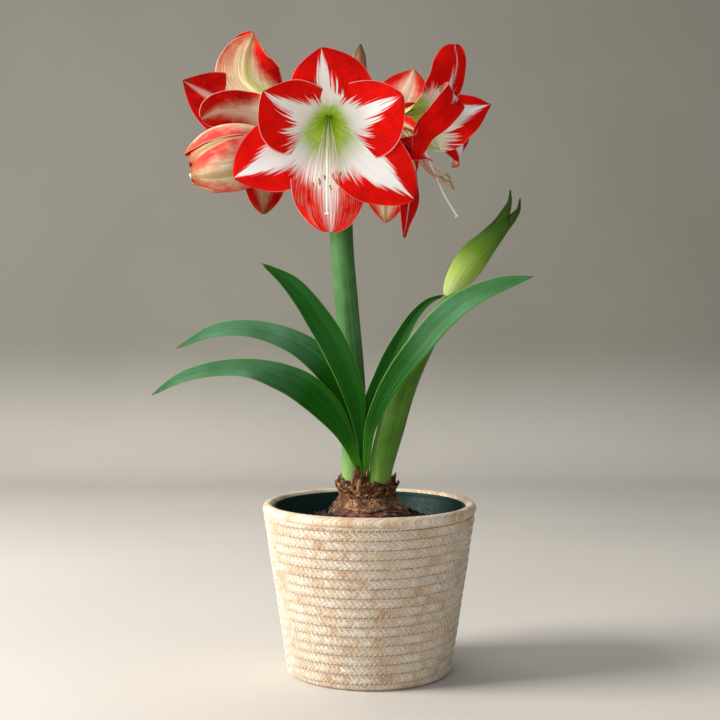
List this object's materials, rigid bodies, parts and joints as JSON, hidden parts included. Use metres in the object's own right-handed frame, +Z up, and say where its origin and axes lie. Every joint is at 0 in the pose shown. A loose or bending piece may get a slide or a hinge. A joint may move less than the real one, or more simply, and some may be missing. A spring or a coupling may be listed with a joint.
{
  "type": "amaryllis in a pot",
  "caption": "Potted amaryllis: plaited straw basket with an inner pot, a bulb in soil, upright stems with strap leaves, and large red and white trumpet blooms with a shut bud.",
  "frame": {"origin": "middle of the basket's flat base, on the surface that it stands on", "axes": "+Z up along the pot's axis, -Y towards the viewer that the open bloom faces, +X to that viewer's right"},
  "size_m": [0.3276, 0.2373, 0.5961],
  "materials": {
    "basket": "dry plaited straw in rows",
    "inner_pot": "thin dark green plastic",
    "soil": "dark crumbly potting mix",
    "bulb": "papery brown and purplish tunics",
    "scape_tall": "smooth waxy blue-green stem",
    "scape_short": "smooth yellow-green stem and sheath",
    "bud_small": "smooth shut bud",
    "leaf_1": "waxy strap leaf",
    "leaf_2": "waxy strap leaf",
    "leaf_3": "waxy strap leaf",
    "leaf_4": "waxy strap leaf",
    "leaf_5": "waxy strap leaf",
    "bloom_front": "satin petals, red with white stars",
    "stamens_front": "pale threads with yellow anthers",
    "bloom_left": "satin petals, red with white stars",
    "stamens_left": "pale threads with yellow anthers",
    "bloom_right": "satin petals, red with white stars",
    "stamens_right": "pale threads with yellow anthers",
    "bloom_back": "satin petals, red with white stars",
    "stamens_back": "pale threads with yellow anthers",
    "bloom_opening": "satin petals, red with white stars",
    "stamens_opening": "pale threads with yellow anthers"
  },
  "bodies": {
    "root": {"basket": "basket", "inner_pot": "inner_pot", "soil": "soil", "bulb": "bulb", "scape_tall": "scape_tall", "scape_short": "scape_short", "bud_small": "bud_small", "leaf_1": "leaf_1", "leaf_2": "leaf_2", "leaf_3": "leaf_3", "leaf_4": "leaf_4", "leaf_5": "leaf_5", "bloom_front": "bloom_front", "stamens_front": "stamens_front", "bloom_left": "bloom_left", "stamens_left": "stamens_left", "bloom_right": "bloom_right", "stamens_right": "stamens_right", "bloom_back": "bloom_back", "stamens_back": "stamens_back", "bloom_opening": "bloom_opening", "stamens_opening": "stamens_opening"}
  },
  "joints": []
}
